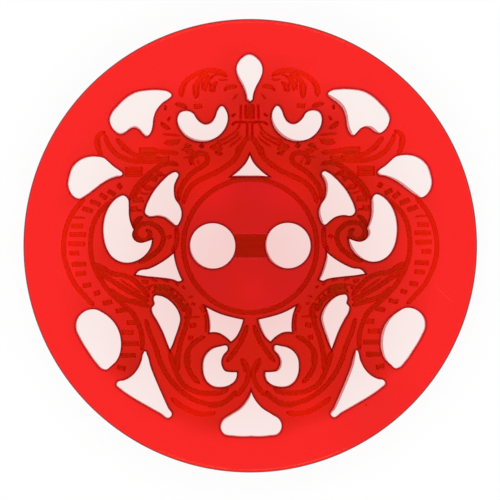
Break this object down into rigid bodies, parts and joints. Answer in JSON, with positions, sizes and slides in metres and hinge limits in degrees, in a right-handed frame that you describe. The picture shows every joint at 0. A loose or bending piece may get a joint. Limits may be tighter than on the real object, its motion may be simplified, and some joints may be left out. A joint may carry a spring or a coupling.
{
  "type": "sew-through button",
  "caption": "Round translucent red sew-through button, pierced and engraved with mirrored scrolling beasts, with a thread groove between its sewing holes.",
  "frame": {"origin": "middle of the flat back, between the sewing holes", "axes": "+Z out of the engraved face, +Y towards the crest of the ornament, +X along the line through the sewing holes"},
  "size_m": [0.034, 0.034, 0.003],
  "materials": {
    "red_acrylic": "polished faces, frosted engraving"
  },
  "bodies": {
    "root": {"button": "red_acrylic"}
  },
  "joints": []
}
